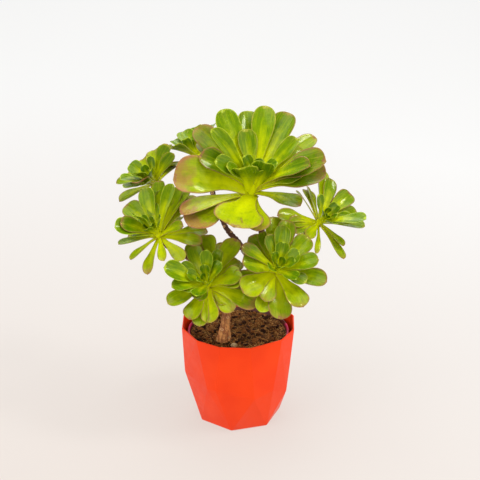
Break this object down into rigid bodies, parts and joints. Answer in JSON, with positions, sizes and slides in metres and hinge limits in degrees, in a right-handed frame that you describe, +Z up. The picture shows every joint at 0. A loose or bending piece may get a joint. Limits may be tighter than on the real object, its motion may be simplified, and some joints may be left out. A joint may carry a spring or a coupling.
{
  "type": "potted succulent plant",
  "caption": "Potted aeonium: a branching succulent with spoon-shaped leaves in open rosettes, in a nursery pot of soil that stands inside a faceted cover pot.",
  "frame": {"origin": "centre of the cover pot's flat underside", "axes": "+Z up, -Y towards the plant's front, +X to the right as seen from the front"},
  "size_m": [0.2933, 0.2152, 0.3805],
  "materials": {
    "cover_pot": "satin",
    "nursery_pot": "satin",
    "soil": "matte",
    "pebble": "matte",
    "bark": "matte",
    "leaf": "satin"
  },
  "bodies": {
    "root": {"cover_pot": "cover_pot", "nursery_pot": "nursery_pot", "soil": "soil", "pebble": "pebble", "stems": "bark", "rosette_top": "leaf", "rosette_left": "leaf", "rosette_left_back": "leaf", "rosette_back": "leaf", "rosette_front_left": "leaf", "rosette_front_right": "leaf", "rosette_right": "leaf"}
  },
  "joints": []
}
